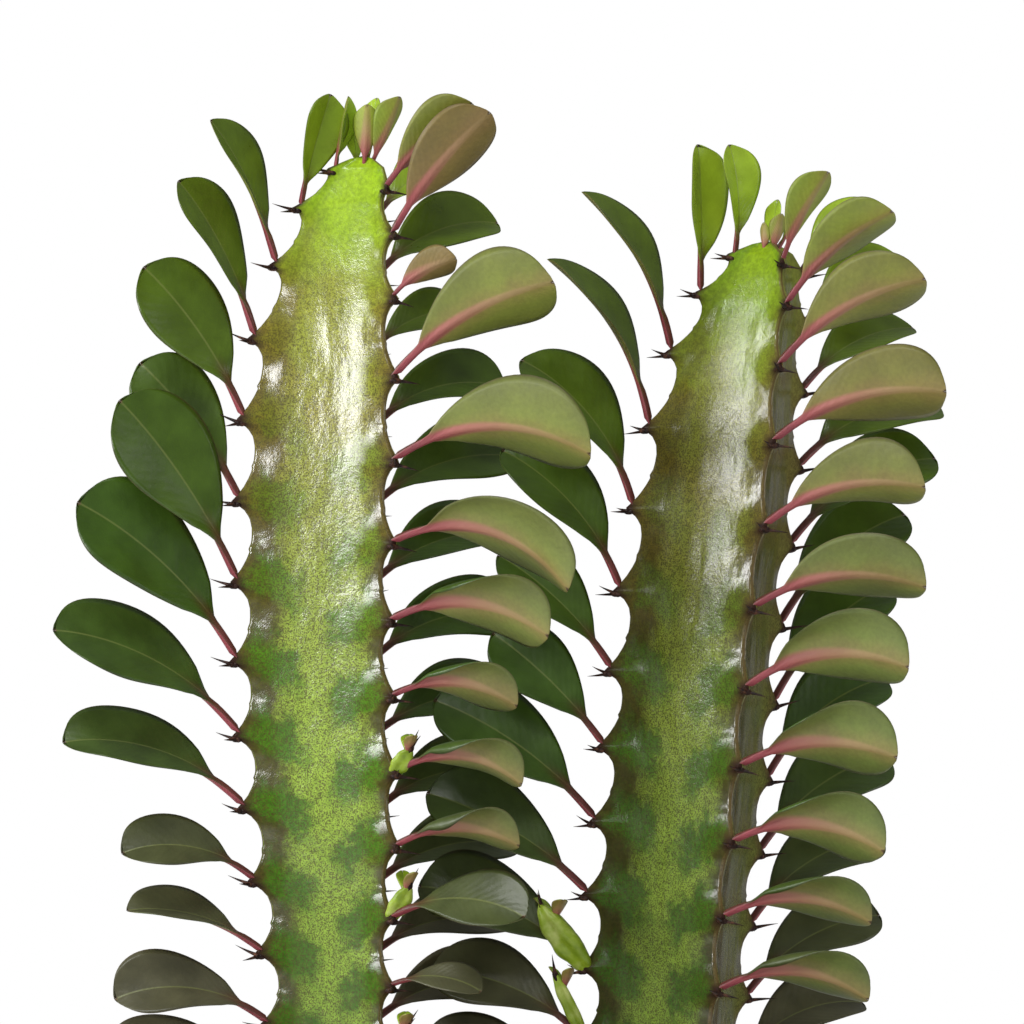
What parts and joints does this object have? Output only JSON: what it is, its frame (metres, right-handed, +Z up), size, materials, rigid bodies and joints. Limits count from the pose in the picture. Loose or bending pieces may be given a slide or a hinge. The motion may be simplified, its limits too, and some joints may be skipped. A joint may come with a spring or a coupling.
{
  "type": "potted euphorbia",
  "caption": "Three-winged upright succulent stems with paired spines and spoon-shaped leaves, standing in compost in a tapered clay pot.",
  "frame": {"origin": "centre of the pot's flat underside", "axes": "+Z up along the plant, +X to the right seen from the front, -Y towards the front"},
  "size_m": [0.2397, 0.172, 0.4555],
  "materials": {
    "terracotta": "matte",
    "compost": "matte",
    "plant": "satin"
  },
  "bodies": {
    "root": {"pot": "terracotta", "soil": "compost", "stem_left": "plant", "stem_right": "plant"}
  },
  "joints": []
}
